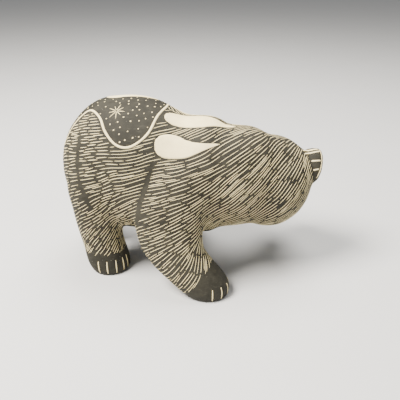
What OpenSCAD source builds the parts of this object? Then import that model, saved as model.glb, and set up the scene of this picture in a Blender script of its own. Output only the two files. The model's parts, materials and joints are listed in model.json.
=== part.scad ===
// A hand-built hollow pottery bear, walking, with its head bowed and turned to its left.
// Each node is one piece of clay as the potter shapes it: pinched bowls for the trunk, a neck ring,
// a head, four legs with their paws, a tail flap and the small pieces of the face. They are luted
// together with slip, so every piece is cut to the face of the one that it sits on.
// Millimetres. +X is the way the bear walks, +Y its left and +Z up; it stands on z = 0.

/* [Trunk] */
// Length of the trunk, from the rump to the chest
trunk_l = 130; // [118:1:143]
// Height of the back over the haunches
rump_h = 125; // [115:1:135]
// Width of the trunk at the haunches
rump_w = 78; // [70:1:86]
// Height of the withers, at the shoulders
withers_h = 114; // [106:1:120]
// Width of the chest between the shoulders
chest_w = 70; // [62:1:76]
// Height of the belly above the ground
belly_h = 29; // [25:1:35]
// Thickness of the clay wall
wall = 5; // [4:0.5:7]
// Diameter of the vent hole in the belly, which lets air out in the firing
vent_d = 6; // [4:0.5:8]

/* [Head] */
// Width of the head across the cheeks
head_w = 62; // [56:1:68]
// Height of the head from crown to jaw
head_h = 67; // [61:1:73]
// Length of the head without the muzzle
head_l = 60; // [54:1:66]
// Distance from the chest forward to the head's centre
head_reach = 17; // [14:1:22]
// Height of the head's centre above the ground
head_z = 65.5; // [62:0.5:70]
// Shift of the head's centre to the left of the trunk's middle
head_side = 15; // [10:1:20]
// Turn of the head to the left, in degrees
head_turn = 76; // [60:1:90]
// Bow of the head, nose down, in degrees
head_bow = 20; // [5:1:28]
// Roll of the head on its own axis, in degrees
head_roll = 8; // [0:1:16]
// Length of the muzzle in front of the face
muzzle_l = 17; // [13:1:21]
// Width of the muzzle at its root
muzzle_w = 33; // [28:1:38]
// Width of an ear
ear_w = 25; // [21:1:29]
// Height of an ear above the head
ear_h = 8; // [6:1:11]
// Thickness of an ear
ear_t = 9; // [7:0.5:11]
// Angle of each ear's root from the crown, in degrees
ear_angle = 52; // [46:1:60]
// Lean of each ear outwards, away from the crown, in degrees
ear_lean = 28; // [0:1:36]
// Depth of the cup pressed into the front of an ear
ear_cup = 3; // [1:0.5:4]
// Diameter of an eye pellet
eye_d = 6.5; // [5:0.5:8]
// Diameter of the hollow through the neck
neck_bore_d = 24; // [16:1:28]

/* [Legs] */
// Height at which the tops of the legs end inside the trunk's outline
leg_top = 100; // [94:1:104]
// Width of the hind legs above the paw
hind_leg_w = 30; // [26:1:34]
// Width of the forelegs above the paw
fore_leg_w = 31; // [27:1:35]
// Distance of the hind paws from the trunk's middle
hind_stance = 20; // [18:1:24]
// Distance of the fore paws from the trunk's middle
fore_stance = 36; // [32:1:40]
// Step of the left hind leg behind the right one
hind_step = 21; // [0:1:24]
// Step of the left foreleg behind the right one
fore_step = 35; // [0:1:40]
// Height of the hind paws where the fur ends
hind_paw_h = 17; // [14:1:20]

/* [Hidden] */

slip = "dimgray";
clay = "wheat";
RIGHT = -1;
LEFT = 1;
cut = 400; // side of the blocks that cut pieces to a plane

// ---- Places ----
rump_x = -98;
chest_x = rump_x + trunk_l;
seam_x = rump_x + trunk_l * 0.42;
mid_h = (rump_h + belly_h) / 2 - 1;
hind_leg_x = rump_x + 34;
fore_leg_x = chest_x - 22;
head_at = [chest_x + head_reach - 2, head_side, head_z];

// ---- Frames, as 4 by 4 matrices ----
function shift(v) = [[1, 0, 0, v.x], [0, 1, 0, v.y], [0, 0, 1, v.z], [0, 0, 0, 1]];
function turn_x(a) = [[1, 0, 0, 0], [0, cos(a), -sin(a), 0], [0, sin(a), cos(a), 0], [0, 0, 0, 1]];
function turn_y(a) = [[cos(a), 0, sin(a), 0], [0, 1, 0, 0], [-sin(a), 0, cos(a), 0], [0, 0, 0, 1]];
function turn_z(a) = [[cos(a), -sin(a), 0, 0], [sin(a), cos(a), 0, 0], [0, 0, 1, 0], [0, 0, 0, 1]];
function placed(frame, p) = let (q = frame * [p.x, p.y, p.z, 1]) [q.x, q.y, q.z];

AS_DRAWN = shift([0, 0, 0]);
UPRIGHT = [[0, 1, 0, 0], [0, 0, 1, 0], [1, 0, 0, 0], [0, 0, 0, 1]]; // stations run up, y is along X
HEAD = shift(head_at) * turn_z(head_turn) * turn_y(head_bow) * turn_x(head_roll);

// ---- Lofts ----
// A loft is a table of stations [station, y, z, side, up, down]: an oval ring about (y, z), across the
// station axis, with its reach to each side, upwards and downwards. Each end is flat or domed.
function slope(rows, i) =
    let (a = rows[max(i - 1, 0)], b = rows[min(i + 1, len(rows) - 1)]) (b - a) / (b[0] - a[0]);
function span(rows, s) = max([for (i = [0 : len(rows) - 2]) if (i == 0 || rows[i][0] <= s) i]);
// The smooth curve through the rows, at station s
function row_at(rows, s) =
    let (i = span(rows, s), a = rows[i], b = rows[i + 1], h = b[0] - a[0], t = (s - a[0]) / h)
    a * (1 + 2 * t) * (1 - t) ^ 2 + slope(rows, i) * h * t * (1 - t) ^ 2
    + b * t ^ 2 * (3 - 2 * t) + slope(rows, i + 1) * h * t ^ 2 * (t - 1);
function dome(t) = t >= 1 ? 1 : sqrt(1 - (1 - t) ^ 2);
function swell(s, ends, domes) =
    (domes[0] > 0 ? dome((s - ends[0]) / domes[0]) : 1) * (domes[1] > 0 ? dome((ends[1] - s) / domes[1]) : 1);
function ring(row, k, sides) = [
    for (i = [0 : sides - 1])
        let (a = 360 * i / sides)
        [row[0], row[1] + k * row[3] * cos(a), row[2] + k * (sin(a) > 0 ? row[4] : row[5]) * sin(a)]
];
// Stations bunch up towards the ends, where the outline turns fastest
function stations(ends, domes, steps) = [
    for (i = [domes[0] > 0 ? 1 : 0 : domes[1] > 0 ? steps - 1 : steps])
        ends[0] + (ends[1] - ends[0]) * (1 - cos(180 * i / steps)) / 2
];
function pole(rows, s) = let (r = row_at(rows, s)) [s, r[1], r[2]];
function loft_points(rows, ends, domes, steps, sides, frame) = [
    for (p = concat(
        [pole(rows, ends[0])],
        [for (s = stations(ends, domes, steps)) each ring(row_at(rows, s), swell(s, ends, domes), sides)],
        [pole(rows, ends[1])]
    )) placed(frame, p)
];
// The same table with every wall moved inwards by t
function thinned(rows, t) = [for (r = rows) r - [0, 0, 0, t, t, t]];

module skin(points, sides) {
    last = len(points) - 1;
    rings = (len(points) - 2) / sides;
    at = function (r, i) 1 + r * sides + i % sides;
    polyhedron(points, concat(
        [for (i = [0 : sides - 1]) [0, at(0, i), at(0, i + 1)]],
        [for (r = [0 : rings - 2], i = [0 : sides - 1]) each [
            [at(r, i), at(r + 1, i), at(r + 1, i + 1)],
            [at(r, i), at(r + 1, i + 1), at(r, i + 1)]
        ]],
        [for (i = [0 : sides - 1]) [last, at(rings - 1, i + 1), at(rings - 1, i)]]
    ));
}

// One smooth shell in the end, so its cuts are made on the mesh
module as_shell() {
    resize([0, 0, 0]) children();
}

// ---- Trunk ----
function trunk_rows() = let (
    rump = rump_w / 2, chest = chest_w / 2, back = rump_h - mid_h, under = mid_h - belly_h,
    withers = withers_h - mid_h, l = trunk_l
) [
    [rump_x, 0, mid_h, rump, back * 0.86, under * 0.84],
    [rump_x + l * 0.15, 0, mid_h, rump, back * 0.93, under * 0.92],
    [rump_x + l * 0.3, 0, mid_h, rump, back * 0.985, under * 0.98],
    [rump_x + l * 0.42, 0, mid_h, rump * 0.99, back, under],
    [rump_x + l * 0.53, 0, mid_h, (rump + chest) / 2, back * 0.95, under],
    [rump_x + l * 0.66, 0, mid_h, chest * 1.03, withers, under],
    [rump_x + l * 0.76, 0, mid_h, chest * 1.03, withers, under * 0.98],
    [rump_x + l * 0.86, 0, mid_h, chest, withers * 0.98, under * 0.95],
    [chest_x, 0, mid_h, chest * 0.88, withers * 0.9, under * 0.9]
];
trunk_domes = [34, 26];
function trunk_points(inset = 0, steps = 34, sides = 32) =
    loft_points(
        thinned(trunk_rows(), inset), [rump_x + inset, chest_x - inset],
        [for (d = trunk_domes) d - inset], steps, sides, AS_DRAWN
    );

module trunk_outside() skin(trunk_points(), 32);
module trunk_hollow() skin(trunk_points(wall, 20, 20), 20);

module bore_through_neck() {
    hull() {
        translate([chest_x - 20, 2, head_z + 12]) sphere(d = neck_bore_d, $fn = 16);
        translate(head_at) sphere(d = neck_bore_d, $fn = 16);
    }
}

module behind_seam() translate([seam_x - cut, -cut / 2, -cut / 2]) cube(cut);

module rump_bowl() {
    color(slip) as_shell() difference() {
        intersection() { trunk_outside(); behind_seam(); }
        trunk_hollow();
        translate([seam_x - 14, 0, 0]) cylinder(h = mid_h, d = vent_d, $fn = 24);
    }
}

module chest_bowl() {
    color(slip) as_shell() difference() {
        trunk_outside();
        behind_seam();
        trunk_hollow();
        bore_through_neck();
    }
}

module tail_flap() {
    rows = [[-9, 0, 0, 6, 3.2, 3.2], [0, 0, 0, 6.5, 4, 4], [9, 0, 0, 4.5, 3, 3]];
    frame = shift([rump_x + 1.8, 5, mid_h - 12]) * turn_y(100);
    color(slip) as_shell() difference() {
        skin(loft_points(rows, [-9, 9], [8, 7], 8, 16, frame), 16);
        trunk_outside();
    }
}

// ---- Neck and head ----
function neck_rows() = let (x = chest_x, z = head_z) [
    [x - 34, 0, mid_h + 2, chest_w * 0.46, withers_h - mid_h - 3, 38],
    [x - 14, 0, mid_h, chest_w * 0.44, withers_h - mid_h - 5, 40],
    [x + 4, 1, z + 8, chest_w * 0.38, 36, 35],
    [x + 28, 5, z + 5, chest_w * 0.33, 37, 31]
];
neck_ends = [chest_x - 34, chest_x + 28];

module neck_outside() skin(loft_points(neck_rows(), neck_ends, [16, 30], 18, 28, AS_DRAWN), 28);

head_rows = [
    [-head_l / 2, 0, 0, head_w / 2, head_h / 2, head_h / 2],
    [0, 0, 0, head_w / 2, head_h / 2, head_h / 2],
    [head_l / 2, 0, -3, head_w / 2 - 3, head_h / 2 - 2, head_h / 2 - 4]
];
function head_points(inset = 0, steps = 22, sides = 28) =
    loft_points(
        thinned(head_rows, inset), [-head_l / 2 + inset, head_l / 2 - inset],
        [head_l / 2 - inset, head_l / 2 - inset], steps, sides, HEAD
    );

module head_outside() skin(head_points(), 28);

module neck_ring() {
    color(slip) as_shell() difference() {
        neck_outside();
        trunk_outside();
        head_outside();
        bore_through_neck();
    }
}

module head_shell() {
    color(slip) as_shell() difference() {
        head_outside();
        trunk_outside();
        skin(head_points(wall, 14, 16), 16);
        bore_through_neck();
    }
}

muzzle_root = head_l / 2 - 14;
muzzle_tip = head_l / 2 + muzzle_l;
function muzzle_rows() = let (w = muzzle_w / 2) [
    [muzzle_root, 0, -7, w, w * 0.86, w * 0.9],
    [head_l / 2, 0, -9, w * 0.86, w * 0.7, w * 0.74],
    [muzzle_tip, 0, -11, w * 0.72, w * 0.54, w * 0.58]
];

module muzzle_outside() {
    skin(loft_points(muzzle_rows(), [muzzle_root, muzzle_tip], [6, 9], 14, 24, HEAD), 24);
}

module muzzle() {
    color(slip) as_shell() difference() {
        muzzle_outside();
        head_outside();
    }
}

nose_rows = [[-5, 0, 0, 6, 4, 4.5], [0, 0, 0, 6.5, 4.5, 5], [4, 0, 0, 6, 4, 4]];
function nose_points() =
    loft_points(nose_rows, [-5, 4], [4, 4], 8, 16, HEAD * shift([muzzle_tip - 1.5, 0, -6.5]));

module nose() {
    color("black") as_shell() difference() {
        skin(nose_points(), 16);
        muzzle_outside();
    }
}

module eye(side) {
    seat = placed(HEAD, [head_l * 0.37, side * head_w * 0.23, head_h * 0.13]);
    color("black") as_shell() difference() {
        translate(seat) sphere(d = eye_d, $fn = 20);
        head_outside();
    }
}

// An ear's own frame: out of the head along X, across the ear along Y, its front towards -Z
function ear_frame(side) =
    HEAD * shift([4, 0, 0]) * turn_x(-side * ear_angle) * shift([0, 0, head_h / 2 - 2])
    * turn_x(-side * ear_lean) * turn_y(-90);
function ear_points(side) = let (w = ear_w / 2, t = ear_t / 2) loft_points(
    [[-8, 0, 0, w * 0.85, t, t], [3, 0, 0, w, t, t], [ear_h, 0, 0, w * 0.95, t * 0.8, t * 0.8]],
    [-8, ear_h], [4, ear_h * 0.6], 12, 20, ear_frame(side)
);

module ear(side) {
    color(slip) as_shell() difference() {
        skin(ear_points(side), 20);
        head_outside();
        neck_outside();
        multmatrix(ear_frame(side)) translate([ear_h * 0.35, 0, -ear_t / 2])
            scale([ear_h * 0.4, ear_w * 0.3, ear_cup]) sphere(r = 1, $fn = 20);
    }
}

// ---- Legs ----
// Stations run up from the ground; y and z of a row are along X and Y
// A leg that steps back or forward leans over the whole of its height to reach the same hip or shoulder
function hind_rows(side) = let (
    lean = side == LEFT ? hind_step : 0, x = hind_leg_x - lean, y = side * hind_stance, w = hind_leg_w / 2
) [
    [0, x, y, w - 1.5, w - 1.5, w - 1.5],
    [4, x - 1, y, w + 0.8, w + 0.5, w + 0.5],
    [12, x - 2.5 + lean * 0.1, y, w + 0.8, w + 0.5, w + 0.5],
    [22, x - 4.5 + lean * 0.28, y, w, w, w],
    [36, x - 6 + lean * 0.6, y * 1.07, w + 0.5, w + 0.5, w + 0.5],
    [50, x - 5 + lean * 0.9, y * 1.15, w + 2, w + 1.5, w + 1.5],
    [68, x - 3 + lean, y * 1.25, w + 6, w + 1, w + 1],
    [leg_top, x - 1 + lean, y * 1.1, w + 5, w - 3, w - 3]
];
function fore_rows(side) = let (
    x = fore_leg_x - (side == LEFT ? fore_step : 0), y = side * fore_stance, w = fore_leg_w / 2,
    shoulder = fore_leg_x - 24, lean = shoulder - x, slant = abs(lean) / 24, toe = 3 * (1 - slant)
) [
    [0, x + 2 + toe, y, w - 1.5 + slant, w - 2.5, w - 2.5],
    [5, x + 2 * toe, y, w + 1.2 + 2 * slant, w - 0.5, w - 0.5],
    [11, x + lean * 0.17, y, w - 1 + 7 * slant, w, w],
    [19, x + lean * 0.5, y, w + 7 * slant, w, w],
    [31, x + lean * 0.92, y * 0.94, w + 0.5 + 6 * slant, w + 0.5, w + 0.5],
    [46, shoulder - 1, y * 0.86, w + 2 + 6 * slant, w + 1.5, w + 1.5],
    [62, shoulder, y * 0.78, w + 9.5, w + 2, w + 2],
    [80, shoulder + 4, y * 0.68, w + 10, w + 1, w + 1],
    [leg_top + 4, shoulder + 8, y * 0.5, w + 5, w - 3, w - 3]
];
function leg_points(rows, top) = loft_points(rows, [0, top], [0, 26], 20, 24, UPRIGHT);

module hind_outside(side) skin(leg_points(hind_rows(side), leg_top), 24);
module fore_outside(side) skin(leg_points(fore_rows(side), leg_top + 4), 24);

// Everything below the line where the fur ends: level on a hind paw, sloping up forwards on a fore paw
module hind_paw_space(side) translate([-cut / 2, -cut / 2, hind_paw_h - cut]) cube(cut);
module fore_paw_space(side) {
    heel = fore_leg_x - 14 - (side == LEFT ? fore_step : 0);
    tilt = side == LEFT ? 20 : 50;
    lift = side == LEFT ? 9 : 0;
    translate([heel, 0, lift]) rotate([0, -tilt, 0]) translate([-cut / 2, -cut / 2, -cut]) cube(cut);
}

module hind_leg(side) {
    color(slip) as_shell() difference() {
        hind_outside(side);
        hind_paw_space(side);
        trunk_outside();
    }
}

module foreleg(side) {
    color(slip) as_shell() difference() {
        fore_outside(side);
        fore_paw_space(side);
        trunk_outside();
        neck_outside();
    }
}

module hind_paw(side) {
    color("darkslategray") as_shell() intersection() {
        hind_outside(side);
        hind_paw_space(side);
    }
}

module fore_paw(side) {
    color("darkslategray") as_shell() intersection() {
        fore_outside(side);
        fore_paw_space(side);
    }
}

// ---- Origin: the middle of the bear's footprint box, on the ground ----
outline = concat(trunk_points(), head_points(), nose_points(), [
    for (side = [RIGHT, LEFT])
        each concat(
            ear_points(side), leg_points(fore_rows(side), leg_top + 4), leg_points(hind_rows(side), leg_top)
        )
]);
function middle(axis) = let (v = [for (p = outline) p[axis]]) (min(v) + max(v)) / 2;
module on_origin() translate([-middle(0), -middle(1), 0]) children();

on_origin() rump_bowl();
on_origin() chest_bowl();
on_origin() neck_ring();
on_origin() head_shell();
on_origin() muzzle();
on_origin() nose();
on_origin() tail_flap();
on_origin() eye(RIGHT);  // right_eye
on_origin() eye(LEFT);  // left_eye
on_origin() ear(RIGHT);  // right_ear
on_origin() ear(LEFT);  // left_ear
on_origin() hind_leg(RIGHT);  // right_hind_leg
on_origin() hind_leg(LEFT);  // left_hind_leg
on_origin() foreleg(RIGHT);  // right_foreleg
on_origin() foreleg(LEFT);  // left_foreleg
on_origin() hind_paw(RIGHT);  // right_hind_paw
on_origin() hind_paw(LEFT);  // left_hind_paw
on_origin() fore_paw(RIGHT);  // right_fore_paw
on_origin() fore_paw(LEFT);  // left_fore_paw
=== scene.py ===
"""A hand-built, hollow pottery bear in dark slip, with its fur scratched through to the cream clay"""

import json
import math
import random

import bmesh
import bpy
from mathutils import Matrix, Vector, noise
from mathutils.bvhtree import BVHTree
from mathutils.geometry import interpolate_bezier


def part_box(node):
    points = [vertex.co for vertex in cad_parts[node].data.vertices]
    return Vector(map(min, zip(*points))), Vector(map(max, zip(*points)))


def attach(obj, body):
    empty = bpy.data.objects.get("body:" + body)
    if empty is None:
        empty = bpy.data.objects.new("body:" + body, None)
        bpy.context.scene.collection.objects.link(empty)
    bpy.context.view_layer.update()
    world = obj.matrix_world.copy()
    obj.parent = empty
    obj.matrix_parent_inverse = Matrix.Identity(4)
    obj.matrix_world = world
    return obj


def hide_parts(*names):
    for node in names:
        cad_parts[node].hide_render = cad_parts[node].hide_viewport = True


MM = 0.001
UP = Vector((0, 0, 1))

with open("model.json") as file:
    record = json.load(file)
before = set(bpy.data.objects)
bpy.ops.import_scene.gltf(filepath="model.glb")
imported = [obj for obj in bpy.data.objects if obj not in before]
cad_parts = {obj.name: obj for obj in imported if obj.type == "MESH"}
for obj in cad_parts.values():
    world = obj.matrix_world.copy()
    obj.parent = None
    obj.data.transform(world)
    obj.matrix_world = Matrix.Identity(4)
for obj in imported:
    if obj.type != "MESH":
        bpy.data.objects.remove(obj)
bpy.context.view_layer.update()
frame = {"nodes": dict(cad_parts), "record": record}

# Lengths along the bear are from the back of its rump, and sideways ones from its spine, in millimetres
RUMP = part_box("rump_bowl")[0].x
SPINE = (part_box("rump_bowl")[0].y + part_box("rump_bowl")[1].y) / 2
NEAR, FAR = -1, 1  # the bear's right side, which is seen first, and its left side
# The head's own axes are forward, left and up, from the middle of the skull
TURN, NOD, TILT = (math.radians(degrees) for degrees in (76, 20, 8))
HEAD = (
    Matrix.Translation(sum(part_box("head_shell"), Vector()) / 2)
    @ Matrix.Rotation(TURN, 4, "Z")
    @ Matrix.Rotation(NOD, 4, "Y")
    @ Matrix.Rotation(TILT, 4, "X")
)
UNHEAD = HEAD.inverted()
# Pellets of another clay, and the pieces that are wiped over into one skin
STUCK_ON = ("nose", "right_eye", "left_eye")
CLAY = [name for name in frame["nodes"] if name not in STUCK_ON]


def on_trunk(along, across, height):
    return Vector((RUMP + along * MM, SPINE + across * MM, height * MM))


def on_head(forward, left, up):
    return HEAD @ (Vector((forward, left, up)) * MM)


def mirrored(point):
    return Vector((point.x, 2 * SPINE - point.y, point.z))


# ---- Camera, floor and light ----
def set_camera():
    aim = on_trunk(98, 0, 52)
    distance = 0.346
    turn, rise = math.radians(12), math.radians(27)
    camera = bpy.data.objects.new("camera", bpy.data.cameras.new("camera"))
    bpy.context.scene.collection.objects.link(camera)
    bpy.context.scene.camera = camera
    camera.data.lens = 43.2
    camera.data.sensor_width = 36
    camera.data.dof.use_dof = False
    back = Vector((math.sin(turn) * math.cos(rise), -math.cos(turn) * math.cos(rise), math.sin(rise)))
    camera.location = aim + back * distance
    camera.rotation_euler = back.to_track_quat("Z", "Y").to_euler()


def soft_light(name, place, size, power, warmth):
    lamp = bpy.data.objects.new(name, bpy.data.lights.new(name, "AREA"))
    bpy.context.scene.collection.objects.link(lamp)
    lamp.data.shape = "DISK"
    lamp.data.size = size
    lamp.data.energy = power
    lamp.data.color = warmth
    lamp.location = place
    middle_of_bear = Vector((0, 0, 0.05))
    lamp.rotation_euler = (Vector(place) - middle_of_bear).to_track_quat("Z", "Y").to_euler()


def set_studio():
    soft_light("key", (-0.45, -0.35, 0.85), 0.45, 37.0, (1.0, 0.95, 0.87))
    soft_light("top", (0.05, 0.25, 0.95), 0.6, 13.0, (1.0, 0.97, 0.92))
    soft_light("fill", (0.75, -0.45, 0.3), 0.6, 0.9, (1.0, 0.99, 0.97))
    world = bpy.data.worlds.new("studio")
    bpy.context.scene.world = world
    world.use_nodes = True
    sky = world.node_tree.nodes["Background"]
    sky.inputs["Color"].default_value = (0.93, 0.94, 0.95, 1)
    sky.inputs["Strength"].default_value = 0.35


# ---- Materials ----
class Knob:
    """A socket of a material's nodes that adds, multiplies and mixes like a number"""

    def __init__(self, recipe, socket):
        self.recipe = recipe
        self.socket = socket

    def maths(self, operation, first, second=0.0):
        return self.recipe.node("Math", {"operation": operation}, {"Value": first, "Value_001": second})

    def __add__(self, other):
        return self.maths("ADD", self, other)

    def __radd__(self, other):
        return self.maths("ADD", other, self)

    def __rsub__(self, other):
        return self.maths("SUBTRACT", other, self)

    def __mul__(self, other):
        return self.maths("MULTIPLY", self, other)

    def __rmul__(self, other):
        return self.maths("MULTIPLY", other, self)

    def rise(self, low, high):
        """0 below low, 1 above high and smooth between them"""
        return self.recipe.node(
            "MapRange",
            {"interpolation_type": "SMOOTHSTEP"},
            {"Value": self, "From Min": low, "From Max": high},
        )

    def fall(self, low, high):
        return 1 - self.rise(low, high)


class Recipe:
    """A material of fired clay, made from nodes"""

    def __init__(self, name, finish):
        self.material = bpy.data.materials.new(name)
        self.material.use_nodes = True
        self.tree = self.material.node_tree
        self.tree.nodes.clear()
        self.shader = self.tree.nodes.new("ShaderNodeBsdfPrincipled")
        output = self.tree.nodes.new("ShaderNodeOutputMaterial")
        self.tree.links.new(self.shader.outputs[0], output.inputs["Surface"])
        for socket, value in finish.items():
            self.shader.inputs[socket].default_value = value
        self.place = self.node("TexCoord", {}, {}, "Object")

    def node(self, kind, settings, sockets, output=None):
        made = self.tree.nodes.new("ShaderNode" + kind)
        for setting, value in settings.items():
            setattr(made, setting, value)
        for identifier, value in sockets.items():
            socket = next(s for s in made.inputs if s.identifier == identifier)
            if isinstance(value, Knob):
                self.tree.links.new(value.socket, socket)
            else:
                socket.default_value = value
        if output is None:
            return Knob(self, next(s for s in made.outputs if s.enabled))
        return Knob(self, next(s for s in made.outputs if s.identifier == output))

    def stretched(self, x=1.0, y=1.0, z=1.0):
        """The place on the bear in millimetres, with each axis scaled"""
        return self.node(
            "VectorMath",
            {"operation": "MULTIPLY"},
            {"Vector": self.place, "Vector_001": (x / MM, y / MM, z / MM)},
        )

    def cloud(self, size, detail=2.0, where=None, roughness=0.5):
        """Noise with lumps of about the given size in millimetres"""
        where = where or self.stretched()
        return self.node(
            "TexNoise",
            {"noise_dimensions": "3D"},
            {"Vector": where, "Scale": 1 / size, "Detail": detail, "Roughness": roughness},
        )

    def cells(self, size):
        """Distance from the middle of the nearest of many cells, about the given size in millimetres"""
        return self.node(
            "TexVoronoi", {"feature": "F1"}, {"Vector": self.stretched(), "Scale": 1 / size}, "Distance"
        )

    def blend(self, amount, under, over):
        return self.node(
            "Mix",
            {"data_type": "RGBA"},
            {"Factor_Float": amount, "A_Color": under, "B_Color": over},
            "Result_Color",
        )

    def paint(self, socket, knob):
        self.tree.links.new(knob.socket, self.shader.inputs[socket])

    def relief(self, height, depth):
        """Bump with the height, from 0 to 1, standing for a depth in millimetres"""
        bump = self.node("Bump", {}, {"Height": height, "Distance": depth * MM, "Strength": 1.0}, "Normal")
        self.paint("Normal", bump)


def grey_slip():
    slip = Recipe("grey_slip", {"Specular IOR Level": 0.2})
    wash = slip.cloud(24, 3)
    mottle = slip.cloud(5.5, 5, roughness=0.6)
    grain = slip.cloud(0.55, 3)
    rubbed = slip.cloud(2.6, 2, slip.stretched(0.35, 1, 1.4))
    chips = slip.cells(1.7).fall(0.05, 0.09) * slip.cloud(1.7, 0).rise(0.6, 0.66)
    shade = 0.45 * wash + 0.55 * mottle
    colour = slip.blend(shade.rise(0.32, 0.68), (0.018, 0.0168, 0.0122, 1), (0.039, 0.0365, 0.027, 1))
    colour = slip.blend(rubbed.rise(0.56, 0.74) * 0.4, colour, (0.060, 0.0565, 0.043, 1))
    colour = slip.blend(grain.rise(0.5, 0.75) * 0.35, colour, (0.013, 0.012, 0.009, 1))
    colour = slip.blend(chips * 0.8, colour, (0.55, 0.50, 0.40, 1))
    slip.paint("Base Color", colour)
    slip.paint("Roughness", 0.56 + 0.22 * mottle + 0.12 * grain)
    slip.relief(0.55 * grain + 0.35 * rubbed + 0.10 * mottle, 0.09)
    return slip.material


def cream_clay():
    clay = Recipe("cream_clay", {"Specular IOR Level": 0.25})
    wash = clay.cloud(7, 4)
    grain = clay.cloud(0.4, 3)
    scrape = clay.cloud(0.8, 3, clay.stretched(0.25, 1, 1))
    colour = clay.blend(wash.rise(0.3, 0.7), (0.98, 0.84, 0.47, 1), (0.90, 0.755, 0.41, 1))
    colour = clay.blend(scrape.rise(0.55, 0.75) * 0.3, colour, (0.62, 0.54, 0.36, 1))
    colour = clay.blend(grain.rise(0.6, 0.78) * 0.3, colour, (0.36, 0.32, 0.24, 1))
    clay.paint("Base Color", colour)
    clay.paint("Roughness", 0.78 + 0.16 * grain)
    clay.relief(0.6 * grain + 0.4 * scrape, 0.12)
    return clay.material


def black_slip():
    black = Recipe("black_slip", {"Specular IOR Level": 0.5})
    mottle = black.cloud(1.6, 3)
    grain = black.cloud(0.3, 2)
    colour = black.blend(mottle, (0.013, 0.012, 0.011, 1), (0.034, 0.031, 0.028, 1))
    black.paint("Base Color", colour)
    black.paint("Roughness", 0.26 + 0.16 * mottle + 0.08 * grain)
    black.relief(0.5 * mottle + 0.5 * grain, 0.03)
    return black.material


def pale_floor():
    floor = Recipe("pale_floor", {"Roughness": 0.7, "Specular IOR Level": 0.3})
    colour = floor.blend(floor.cloud(60, 2), (0.62, 0.62, 0.615, 1), (0.65, 0.65, 0.645, 1))
    floor.paint("Base Color", colour)
    return floor.material


FINISH = {"grey_slip": grey_slip(), "cream_clay": cream_clay(), "black_slip": black_slip()}


def finished(name, bm, slot, *nodes, thickness=None):
    """Makes a piece of the bear from its bmesh, with its finish"""
    mesh = bpy.data.meshes.new(name)
    bm.to_mesh(mesh)
    bm.free()
    for polygon in mesh.polygons:
        polygon.use_smooth = True
    piece = bpy.data.objects.new(name, mesh)
    bpy.context.scene.collection.objects.link(piece)
    mesh.materials.append(FINISH[slot])
    if thickness:
        wall = piece.modifiers.new("wall", "SOLIDIFY")
        wall.thickness = thickness * MM
        wall.offset = -1
    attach(piece, "root")
    if nodes:
        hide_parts(*nodes)
    return piece


# ---- The skin of the bear ----
def remeshed(bm, grain):
    """One closed surface around everything in the bmesh, with faces of about the given size"""
    mesh = bpy.data.meshes.new("raw")
    bm.to_mesh(mesh)
    bm.free()
    raw = bpy.data.objects.new("raw", mesh)
    bpy.context.scene.collection.objects.link(raw)
    remesh = raw.modifiers.new("remesh", "REMESH")
    remesh.mode = "VOXEL"
    remesh.voxel_size = grain * MM
    result = bmesh.new()
    result.from_mesh(raw.evaluated_get(bpy.context.evaluated_depsgraph_get()).to_mesh())
    bpy.data.objects.remove(raw)
    bpy.data.meshes.remove(mesh)
    return result


def gathered(*nodes):
    """A copy of these pieces' meshes, with their loose triangles merged"""
    bm = bmesh.new()
    for node in nodes:
        bm.from_mesh(frame["nodes"][node].data)
    bmesh.ops.remove_doubles(bm, verts=bm.verts, dist=0.002 * MM)
    return bm


SEAM = 130 * 0.42  # where the rump bowl meets the chest bowl, as a length along the bear
VENT = on_trunk(SEAM - 14, 0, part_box("rump_bowl")[0].z / MM)


def plugged(bm):
    """Closes the vent's inner end, so that the skin has no inside, and leaves its mouth open"""
    radius = 4.5 * MM
    place = Matrix.Translation(VENT + UP * 6 * MM)
    bmesh.ops.create_cone(
        bm, cap_ends=True, segments=20, radius1=radius, radius2=radius, depth=4 * MM, matrix=place
    )


def smoothed(bm, rounds):
    """Wipes the seams over, with this many rounds at each of the points"""
    verts = list(bm.verts)
    for step in range(max(rounds)):
        loose = [v for v, last in zip(verts, rounds) if last > step]
        bmesh.ops.smooth_vert(
            bm, verts=loose, factor=0.5, use_axis_x=True, use_axis_y=True, use_axis_z=True
        )


class Belonging:
    """Says which piece of clay a place on the skin is nearest to"""

    def __init__(self):
        points, faces, self.owner = [], [], []
        for name in CLAY:
            mesh = frame["nodes"][name].data
            start = len(points)
            points += [v.co.copy() for v in mesh.vertices]
            faces += [[start + i for i in polygon.vertices] for polygon in mesh.polygons]
            self.owner += [name] * len(mesh.polygons)
        self.tree = BVHTree.FromPolygons(points, faces)

    def __call__(self, point):
        return self.owner[self.tree.find_nearest(point)[2]]


belonging = Belonging()


def filled_nape(bm):
    """A ball of clay behind the head, which fills the fold where it joins the neck"""
    place = Matrix.Translation(on_trunk(145, 8, 87.8))
    bmesh.ops.create_icosphere(bm, subdivisions=4, radius=14 * MM, matrix=place)


# How many rounds of wiping each piece of clay gets. The rest get the usual number
WIPED = {"neck_ring": 90, "head_shell": 90, "right_ear": 7, "left_ear": 7, "muzzle": 16, "tail_flap": 12}
USUALLY, AT_SOLES, AT_VENT = 34, 8, 2


def wiping(point):
    node = belonging(point)
    if (point - VENT).length < 6 * MM:
        return AT_VENT
    if WIPED.get(node, USUALLY) >= USUALLY and point.z < 2 * MM:
        return AT_SOLES
    return WIPED.get(node, USUALLY)


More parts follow.
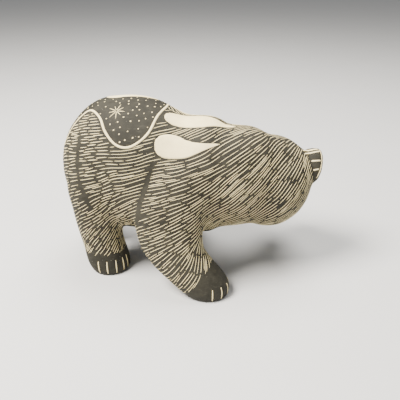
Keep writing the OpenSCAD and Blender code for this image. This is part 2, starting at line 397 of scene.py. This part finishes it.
def bear_skin():
    """The clay pieces as one closed skin, wiped over, a little uneven, and flat under the paws"""
    bm = gathered(*CLAY)
    plugged(bm)
    filled_nape(bm)
    bm = remeshed(bm, grain=1.0)
    smoothed(bm, [wiping(v.co) for v in bm.verts])
    bm.normal_update()
    for v in bm.verts:
        dents = noise.noise(v.co * 55) * 0.30
        ripples = noise.noise(v.co * 160) * 0.10
        v.co += v.normal * (dents + ripples) * MM
        v.co.z = max(v.co.z, 0)
    bmesh.ops.recalc_face_normals(bm, faces=bm.faces)
    return bm


skin = bear_skin()
surface = BVHTree.FromBMesh(skin)


def laid(point):
    """The nearest place on the skin, and the way that faces out of it"""
    place, normal, _, _ = surface.find_nearest(point)
    return place, normal


# ---- Marks scratched through the slip ----
def strip(along, across=1):
    """A flat strip of a few faces, which is then laid on the skin"""
    bm = bmesh.new()
    bmesh.ops.create_grid(bm, x_segments=along, y_segments=across, size=0.5)
    mesh = bpy.data.meshes.new("strip")
    bm.to_mesh(mesh)
    bm.free()
    return mesh


class Marks:
    """Marks of one shape, each laid along its own line of points with its own half widths"""

    def __init__(self, along, across=1, lift=0.09):
        """A mark has this many faces along and across it, and stands this many millimetres proud"""
        self.template = strip(along, across)
        self.lift = lift
        self.bm = bmesh.new()
        self.lines = []

    def add(self, line, widths):
        """line is a list of points on the skin, widths the half widths in millimetres at each of them"""
        self.lines.append((line, widths))

    def at(self, line, widths, along):
        """The point, the way along the line and the half width, at a share of the line from 0 to 1"""
        place = along * (len(line) - 1)
        i = min(int(place), len(line) - 2)
        t = place - i
        way = line[min(i + 2, len(line) - 1)] - line[max(i - 1, 0)]
        return line[i].lerp(line[i + 1], t), way, widths[i] * (1 - t) + widths[i + 1] * t

    def built(self):
        for _ in self.lines:
            self.bm.from_mesh(self.template)
        flat = [v.co.copy() for v in self.template.vertices]
        self.bm.verts.ensure_lookup_table()
        for i, v in enumerate(self.bm.verts):
            line, widths = self.lines[i // len(flat)]
            spot = flat[i % len(flat)]
            point, way, width = self.at(line, widths, spot.x + 0.5)
            _, normal = laid(point)
            side = normal.cross(way).normalized()
            place, normal = laid(point + side * (spot.y * 2 * width * MM))
            v.co = place + normal * self.lift * MM
        bmesh.ops.recalc_face_normals(self.bm, faces=self.bm.faces)
        for face in self.bm.faces:
            if face.normal.dot(laid(face.calc_center_median())[1]) < 0:
                face.normal_flip()
        return self.bm


def curve_through(points, steps=8, closed=False):
    """A smooth line through given points, laid on the skin"""
    line = []
    count = len(points)
    for i in range(count if closed else count - 1):
        if closed:
            before, start, end, after = (points[(i + k) % count] for k in (-1, 0, 1, 2))
        else:
            before, start = points[max(i - 1, 0)], points[i]
            end, after = points[i + 1], points[min(i + 2, count - 1)]
        leaving = start + (end - before) / 6
        arriving = end - (after - start) / 6
        bend = interpolate_bezier(start, leaving, arriving, end, steps + 1)
        line += [laid(p)[0] for p in bend[:-1]]
    line.append(laid(points[0] if closed else points[-1])[0])
    return line


# The saddle on the rump: half of its wavy edge, from the spine in front to the middle over the tail
SADDLE_EDGE = [
    (75, 0, 119), (73, -14, 117), (70, -25, 109), (63, -31, 103), (56, -33, 101), (49, -32, 103),
    (42, -28, 109), (36, -21, 116), (26, -14, 118), (16, -16, 110), (8, -18, 97), (3, -7, 86),
]
# Teardrops: points along the middle, the widest half width, and how far along that is
NEAR_DROP = ([(75, -29, 101), (84, -27, 102), (94, -27, 101), (104, -25, 102), (115, -19, 103)], 8.3, 0.28)
SPINE_DROP = ([(77, -11.5, 116), (86, -8, 114), (98, -5.5, 113), (110, -3, 112), (122, 1, 109)], 8.7, 0.56)
BACK_DROP = ([(32, 6, 122), (48, 7, 124), (68, 7, 121)], 9.0, 0.3)
# Plain bands that outline the shoulder and the hip
SHOULDER_BAND = [(75, -33, 93), (72, -36, 82), (67, -39, 66), (63, -40, 49)]
HIP_BAND = [(25, -29, 104), (24, -36, 84), (28, -40, 70), (33, -40, 58)]


def placed(points, side=NEAR):
    laid_out = [on_trunk(*p) for p in points]
    return laid_out if side == NEAR else [mirrored(p) for p in laid_out]


saddle_half = placed(SADDLE_EDGE)
saddle_edge = curve_through(saddle_half + [mirrored(p) for p in saddle_half[:0:-1]], 6, closed=True)


def in_saddle(point):
    """Counts the edges of the saddle, seen from above, that a line from the point crosses"""
    lowest, front = 84 * MM, RUMP + 80 * MM
    if point.z < lowest or point.x > front:
        return False
    inside = False
    for a, b in zip(saddle_edge, saddle_edge[1:]):
        if (a.y > point.y) != (b.y > point.y):
            if point.x < a.x + (b.x - a.x) * (point.y - a.y) / (b.y - a.y):
                inside = not inside
    return inside


class Drop:
    """A teardrop that is scraped clean of slip"""

    faces = 36

    def __init__(self, points, half_width, belly, side=NEAR):
        fine = curve_through(placed(points, side), 12)
        shares = [(i / self.faces) ** 1.7 for i in range(self.faces + 1)]  # closer at the round end
        self.line = [fine[round(share * (len(fine) - 1))] for share in shares]
        self.widths = [max(self.width(half_width, belly, share), 0.1) for share in shares]

    def width(self, half_width, belly, share):
        """Half width at a share of the length: round up to the belly, then drawn out to a point"""
        if share < belly:
            return half_width * math.sqrt(1 - (1 - share / belly) ** 2)
        return half_width * (1 - ((share - belly) / (1 - belly)) ** 1.3) ** 1.25

    def covers(self, point, margin):
        """Whether the point is in the teardrop, or in a margin around it"""
        return any((p - point).length < (w + margin) * MM for p, w in zip(self.line, self.widths))


drops = {
    "near_teardrop": Drop(*NEAR_DROP),
    "far_teardrop": Drop(*NEAR_DROP, side=FAR),
    "spine_teardrop": Drop(*SPINE_DROP),
    "saddle_teardrop": Drop(*BACK_DROP),
}
bands = [
    curve_through(placed(points, side), 8)
    for points in (SHOULDER_BAND, HIP_BAND)
    for side in (NEAR, FAR)
]


class Neighbours:
    """Points sorted into cells, so that those close to a place are quickly found"""

    def __init__(self, cell):
        """A cell, in millimetres, is at least as wide as the room that is ever asked for"""
        self.cell = cell * MM
        self.held = {}

    def key(self, point):
        return tuple(math.floor(c / self.cell) for c in point)

    def add(self, point, owner=None):
        self.held.setdefault(self.key(point), []).append((point, owner))

    def around(self, point):
        x, y, z = self.key(point)
        for i in (x - 1, x, x + 1):
            for j in (y - 1, y, y + 1):
                for k in (z - 1, z, z + 1):
                    yield from self.held.get((i, j, k), ())

    def free(self, point, way, room, owner=None):
        """Whether the place has room on both sides of the way and along it, but for the owner's own points"""
        beside, ahead = room
        for other, whose in self.around(point):
            if owner is not None and whose == owner:
                continue
            off = (other - point) / MM
            along = off.dot(way)
            across = off.length_squared - along * along
            if across / beside**2 + along * along / ahead**2 < 1:
                return False
        return True


# ---- Fur ----
# The lie of the fur on the side of the bear: place along it, height, and slope towards the head in degrees
FUR_LIE = [
    (28, 100, 9), (28, 78, 16), (28, 58, 36), (30, 25, 55), (50, 95, 7), (50, 72, 20), (52, 56, 38),
    (72, 100, 20), (72, 76, 20), (74, 50, 32), (84, 94, 7), (84, 22, 48), (96, 109, 34), (96, 78, 20),
    (96, 48, 27), (98, 18, 56), (111, 28, 86), (110, 90, 24), (110, 64, 28), (116, 105, 40), (122, 75, 45),
    (130, 43, 25), (140, 90, 40), (145, 60, 43), (152, 44, 34), (162, 72, 53),
]
# Shortest and longest stroke on each piece of clay. The rest get the usual ones
REACH = {
    "rump_bowl": (5, 10), "chest_bowl": (12, 26), "neck_ring": (12, 26), "head_shell": (10, 24),
    "tail_flap": (4, 7), "right_foreleg": (8, 16), "left_foreleg": (8, 16), "muzzle": (5, 9),
}
USUAL_REACH = (6, 12)
# How far the strokes waver from the lie of the fur, in degrees
WAVER = {"rump_bowl": 14, "right_hind_leg": 12, "left_hind_leg": 12}
USUAL_WAVER = 8
# Pieces with no fur, and those with none on the parts that face the ground
PLAIN = (
    "right_hind_paw", "left_hind_paw", "right_fore_paw", "left_fore_paw", "right_ear", "left_ear",
)
PLAIN_BELOW = ("rump_bowl", "chest_bowl")
# Where the bear's middle starts to bend to its left, towards the turned head, how much, and where the head is
WITHERS, BEND, NAPE = 95, 0.9, 118
EYES = {side: on_head(22.2, side * 14.3, 8.7) for side in (NEAR, FAR)}
SNOUT = on_head(38, 0, -9)


class Fur:
    """Strokes side by side over the skin, each as long as a flick of the hand"""

    pitch = 2.05
    # Room beside and along a stroke, in millimetres, where it starts, where it grows and near plain slip
    start_room = (pitch * 0.9, 0.6)
    growth_room = (pitch * 0.52, 0.55)
    plain_room = (0.75, 0.75)
    step_length = 1.0

    def __init__(self, seed):
        self.chance = random.Random(seed)
        self.strokes = []
        self.scratched = Neighbours(1.9)
        self.plain = Neighbours(0.8)
        self.lie = [(RUMP + x * MM, z * MM, math.radians(a)) for x, z, a in FUR_LIE]

    def lie_on_trunk(self, point, normal):
        """The lie between the guides, carried over the back to where the two sides meet"""
        total = Vector()
        soft = (8 * MM) ** 2
        for x, z, slope in self.lie:
            pull = 1 / ((x - point.x) ** 2 + (z - point.z) ** 2 + soft) ** 2
            total += Vector((math.cos(slope), 0, math.sin(slope))) * pull
        middle = SPINE + max(point.x - RUMP - WITHERS * MM, 0) * BEND
        outward = Vector((0, NEAR if point.y < middle else FAR, 0))
        return outward.rotation_difference(normal) @ total.normalized()

    def lie_on_face(self, point, lie):
        """The same lie, turned towards the snout from the middle of the head forward"""
        forward = (UNHEAD @ point).x / MM
        face = min(max((forward + 6) / 16, 0), 1)
        toward = (SNOUT - point).normalized()
        if toward.dot(lie) < 0:
            toward.negate()
        return lie * (1 - face) + toward * face

    def way(self, point, normal):
        """The way that a stroke takes at a place on the skin"""
        lie = self.lie_on_trunk(point, normal)
        if (UNHEAD @ point).length < 55 * MM and point.x > RUMP + NAPE * MM:
            lie = self.lie_on_face(point, lie)
        flat = lie - normal * lie.dot(normal)
        if flat.length < 0.08:
            flat = UP - normal * normal.z
        waver = WAVER.get(belonging(point), USUAL_WAVER) * noise.noise(point * 130)
        return Matrix.Rotation(math.radians(waver), 3, normal) @ flat.normalized()

    def bare(self, point, normal):
        """Whether the slip is left unscratched here"""
        node = belonging(point)
        if node in PLAIN or (node in PLAIN_BELOW and normal.z < -0.72):
            return True
        if in_saddle(point) or (point - VENT).length < 7 * MM:
            return True
        nose_end = node == "muzzle" and (UNHEAD @ point).x > 36 * MM
        if nose_end or any((eye - point).length < 6.2 * MM for eye in EYES.values()):
            return True
        return not self.plain.free(point, normal, self.plain_room)

    def keep_off(self, line, margin):
        """Keeps strokes off a line, and a margin of up to 1.5 mm on both sides of it"""
        spacing = 0.7 * MM
        for start, end in zip(line, line[1:]):
            steps = max(int((end - start).length / spacing), 1)
            for i in range(steps):
                point = start.lerp(end, i / steps)
                _, normal = laid(point)
                side = normal.cross(end - start).normalized()
                for shift in (-margin, 0, margin):
                    self.plain.add(point + side * shift * MM)

    def keep_off_drop(self, drop):
        """Keeps strokes off the whole of a teardrop"""
        last = len(drop.line) - 1
        for i, (point, width) in enumerate(zip(drop.line, drop.widths)):
            _, normal = laid(point)
            side = normal.cross(drop.line[min(i + 1, last)] - drop.line[max(i - 1, 0)]).normalized()
            reach = width + 0.1
            steps = int(reach / 0.8) + 1
            for k in range(-steps, steps + 1):
                self.plain.add(laid(point + side * k * reach / steps * MM)[0])

    def step(self, point, way, owner):
        """The next point of a stroke that goes this way, or None where it has no room"""
        place, normal = laid(point + way * self.step_length * MM)
        stuck = (place - point).length < 0.4 * self.step_length * MM
        if stuck or self.bare(place, normal):
            return None
        if not self.scratched.free(place, way, self.growth_room, owner):
            return None
        return place, normal

    def grown(self, start, owner):
        """A stroke through the start, as far as there is room for it"""
        place, normal = laid(start)
        if self.bare(place, normal):
            return None
        if not self.scratched.free(place, self.way(place, normal), self.start_room):
            return None
        shortest, longest = REACH.get(belonging(place), USUAL_REACH)
        reach = self.chance.uniform(shortest, longest)
        twist = math.radians(self.chance.uniform(-16, 16) / reach)
        line = [(place, normal)]
        # Forward for a part of the reach, then back for all that is left, then forward for what remains
        for sense, limit in ((1, reach * self.chance.uniform(0.3, 0.7)), (-1, reach), (1, reach)):
            while len(line) < limit:
                point, facing = line[-1 if sense == 1 else 0]
                way = Matrix.Rotation(twist, 3, facing) @ self.way(point, facing)
                found = self.step(point, way * sense, owner)
                if found is None:
                    break
                line.insert(len(line) if sense == 1 else 0, found)
        return [point for point, _ in line] if len(line) >= shortest * self.least else None

    def beside(self, line):
        """Starts for new strokes on both sides of a stroke, and past its ends"""
        places = list(range(1, len(line) - 1, 2))
        self.chance.shuffle(places)
        for i in places:
            _, normal = laid(line[i])
            side = normal.cross(line[i + 1] - line[i - 1]).normalized()
            for sense in (1, -1):
                yield line[i] + side * sense * self.pitch * self.chance.uniform(0.98, 1.1) * MM
        past_end = 4 * MM
        yield line[-1] + (line[-1] - line[-2]).normalized() * past_end
        yield line[0] + (line[0] - line[1]).normalized() * past_end

    def cover(self, seeds, least):
        """Fills the skin with strokes, none shorter than this share of the shortest reach"""
        self.least = least
        for seed in seeds:
            waiting = [[seed]]
            while waiting:
                for start in waiting.pop(0):
                    owner = len(self.strokes)
                    line = self.grown(start, owner)
                    if line:
                        self.strokes.append(line)
                        for point in line:
                            self.scratched.add(point, owner)
                        waiting.append(list(self.beside(line)))


fur = Fur(7)
for drop in drops.values():
    fur.keep_off_drop(drop)
for band in bands:
    fur.keep_off(band, 0.2)
for shoulder in bands[:2]:  # the shoulder's band widens as it goes down
    fur.keep_off(shoulder[len(shoulder) // 3 :], 0.8)
    fur.keep_off(shoulder[len(shoulder) * 2 // 3 :], 1.4)
fur.keep_off(saddle_edge, 0.5)

# Long strokes first, and then shorter ones in what is left
skin.faces.ensure_lookup_table()
picks = random.Random(11)
seeds = [skin.faces[picks.randrange(len(skin.faces))].calc_center_median() for _ in range(12000)]
for share, least in ((0, 1.3), (1, 0.9), (2, 0.6), (3, 0.35)):
    fur.cover(seeds[share::4], least)

# Pieces of clay whose strokes are grouped under another name than their own
AREAS = {
    "rump_bowl": "rump_fur", "tail_flap": "rump_fur", "chest_bowl": "chest_fur", "neck_ring": "neck_fur",
    "head_shell": "head_fur", "muzzle": "head_fur",
}
BROADER = {"rump_fur": 1.3}


def stroke_widths(line, chance, broader):
    """Half widths of a stroke, which broadens quickly at its start and thins out at its end"""
    full = chance.uniform(0.115, 0.17) * broader
    last = len(line) - 1
    tapers = [min(1, i / 2 + 0.4, (last - i) / 3 + 0.35) for i in range(len(line))]
    return [full * taper * chance.uniform(0.88, 1.12) for taper in tapers]


groups = {}
for line in fur.strokes:
    node = belonging(line[len(line) // 2])
    groups.setdefault(AREAS.get(node, node + "_fur"), []).append(line)
widths_chance = random.Random(23)
for name, lines in groups.items():
    marks = Marks(9)
    for line in lines:
        marks.add(line, stroke_widths(line, widths_chance, BROADER.get(name, 1)))
    finished(name, marks.built(), "cream_clay", thickness=0.2)


# ---- Drawn patterns ----
def drawn(name, along, across, *lines):
    """A piece made of lines that are each given with their half widths"""
    marks = Marks(along, across, lift=0.11)
    for line, widths in lines:
        marks.add(line, widths)
    return finished(name, marks.built(), "cream_clay", thickness=0.22)


def even(line, width, seed, ends=True):
    """Half widths of a line drawn by a hand that isn't quite steady, with tapered ends"""
    last = len(line) - 1
    unsteady = 0.22
    hand = [width * (1 + unsteady * noise.noise(Vector((i * 0.35, seed, 0)))) for i in range(last + 1)]
    if ends:
        hand = [w * min(1, i / last * 6 + 0.15, (last - i) / last * 6 + 0.15) for i, w in enumerate(hand)]
    return hand


drawn("saddle_edge", 220, 2, (saddle_edge, even(saddle_edge, 0.72, 3, ends=False)))
for name, drop in drops.items():
    drawn(name, Drop.faces, 12, (drop.line, drop.widths))


STAR = (46.5, -17, 119.5)


def star(rays, reach):
    """Rays of uneven length around the star's middle"""
    place, normal = laid(on_trunk(*STAR))
    ahead = Vector((1, 0, 0)).cross(normal).normalized()
    lines = []
    for i in range(rays):
        turn = Matrix.Rotation(2 * math.pi * i / rays + 0.15, 3, normal) @ ahead
        far = reach * (1.0, 0.75, 0.9, 0.8)[i % 4]
        line = [laid(place + turn * s * MM)[0] for s in (0.7, far * 0.5, far)]
        lines.append((line, [0.16, 0.2, 0.1]))
    return lines


drawn("saddle_star", 4, 1, *star(9, 6.3))


def dots(count, seed):
    """Pricked dots, scattered over the saddle and kept off each other, the star, the edge and the drop"""
    chance = random.Random(seed)
    lows = [min(p[i] for p in saddle_edge) for i in range(2)]
    highs = [max(p[i] for p in saddle_edge) for i in range(2)]
    spots = []
    middle_of_star = laid(on_trunk(*STAR))[0]
    above = 0.2
    for _ in range(6000):
        x, y = (chance.uniform(low, high) for low, high in zip(lows, highs))
        point = surface.ray_cast(Vector((x, y, above)), -UP)[0]
        if point is None or not in_saddle(point):
            continue
        apart = all((point - other).length > chance.uniform(3.2, 5.2) * MM for other in spots)
        clear = (point - middle_of_star).length > 7.5 * MM
        inside = all((point - edge).length > 2.6 * MM for edge in saddle_edge[::2])
        if apart and clear and inside and not drops["saddle_teardrop"].covers(point, 1.5):
            spots.append(point)
        if len(spots) == count:
            break
    return spots


pricks = Marks(2, 1, lift=0.1)
for spot in dots(130, 5):
    _, normal = laid(spot)
    way = normal.orthogonal().normalized()
    radius = 0.43 * (1 + 0.4 * noise.noise(spot * 700))
    line = [spot - way * radius * MM, spot, spot + way * radius * MM]
    pricks.add(line, [radius * 0.45, radius, radius * 0.45])
finished("saddle_dots", pricks.built(), "cream_clay", thickness=0.2)


CLAW = [0.2, 0.4, 0.45, 0.42, 0.2]  # half widths from the top of a claw line to its bottom


def claw_lines(middle, turns, top, bottom):
    """Lines scratched down the front of a paw, at these turns in degrees from straight ahead"""
    lines = []
    outside = 26
    for turn in turns:
        out = Vector((math.cos(math.radians(turn)), math.sin(math.radians(turn)), 0))
        heights = [top + (bottom - top) * i / (len(CLAW) - 1) for i in range(len(CLAW))]
        starts = [Vector((middle.x, middle.y, height * MM)) + out * outside * MM for height in heights]
        line = [surface.ray_cast(start, -out)[0] for start in starts]
        if None not in line:
            lines.append((line, CLAW))
    return lines


MOUNTS = {m["name"]: Vector(m["pos_m"]) for m in frame["record"]["mounts"]}
for side, mirror in (("right", 1), ("left", -1)):
    hind_turns = [mirror * turn for turn in (-103, -79, -53, -28, -8)]
    fore_turns = [mirror * turn for turn in (-61, -34, -9, 16, 40)]
    drawn(f"{side}_hind_claws", 6, 2, *claw_lines(MOUNTS[f"{side}_hind_sole"], hind_turns, 12.5, 2))
    drawn(f"{side}_fore_claws", 6, 2, *claw_lines(MOUNTS[f"{side}_fore_sole"], fore_turns, 10.5, 1.5))

# The stripes on the back of each ear, from its root to its rim, on the head's own axes
EAR_STRIPES = [
    [(-1, 16, 28.5), (0.5, 21, 31), (2, 24.5, 33)],
    [(-2.6, 18.5, 26.7), (0, 23, 28.7), (2, 27, 30.5)],
    [(-0.8, 23.4, 21.8), (0.3, 27, 23.2), (1.1, 30, 24.3)],
    [(-0.3, 26.5, 16.2), (0.2, 28.6, 17.2), (0.6, 30.5, 18.2)],
]
EAR_RIM = [(1.6, 26, 34), (0.8, 31, 31), (0.4, 34, 24), (0.2, 34, 17), (0.4, 32, 11)]
for name, side in (("right", NEAR), ("left", FAR)):
    stripes = []
    for stripe in EAR_STRIPES:
        line = curve_through([on_head(x, side * y, z) for x, y, z in stripe], 4)
        stripes.append((line, even(line, 0.5, 5)))
    drawn(f"{name}_ear_stripes", 8, 1, *stripes)
    rim = curve_through([on_head(x, side * y, z) for x, y, z in EAR_RIM], 6)
    drawn(f"{name}_ear_rim", 24, 1, (rim, even(rim, 0.42, 6)))



def eye_ring(side):
    """A ring around the eye that leans back at its top, as the brow does"""
    ring = []
    for i in range(16):
        turn = 2 * math.pi * i / 16
        rim = Vector((-0.25 * math.cos(turn), side * math.sin(turn) * 0.94, math.cos(turn)))
        ring.append(EYES[side] + (HEAD.to_3x3() @ rim) * 5.2 * MM)
    return curve_through(ring, 3, closed=True)


for name, side in (("right", NEAR), ("left", FAR)):
    ring = eye_ring(side)
    drawn(f"{name}_eye_ring", 48, 1, (ring, even(ring, 0.36, 7, ends=False)))

# The mouth: down from the nose, and then out to both corners
MOUTH = [
    [(48, 0, -10.5), (47.5, 0, -14)],
    [(47.5, 0, -14), (44, -6.5, -16.5), (37, -11, -15)],
    [(47.5, 0, -14), (44, 6.5, -16.5), (37, 11, -15)],
]
mouth = [curve_through([on_head(*p) for p in points], 6) for points in MOUTH]
drawn("mouth", 12, 1, *[(line, even(line, 0.38, 9)) for line in mouth])

finished("clay_body", skin, "grey_slip", *CLAY)
for node in STUCK_ON:
    bm = remeshed(gathered(node), grain=0.35)
    smoothed(bm, [10] * len(bm.verts))
    finished(node + "_pellet", bm, "black_slip", node)



def set_floor():
    bm = bmesh.new()
    bmesh.ops.create_grid(bm, x_segments=1, y_segments=1, size=3)
    mesh = bpy.data.meshes.new("floor")
    bm.to_mesh(mesh)
    bm.free()
    mesh.materials.append(pale_floor())
    floor = bpy.data.objects.new("floor", mesh)
    bpy.context.scene.collection.objects.link(floor)


set_floor()
set_camera()
set_studio()
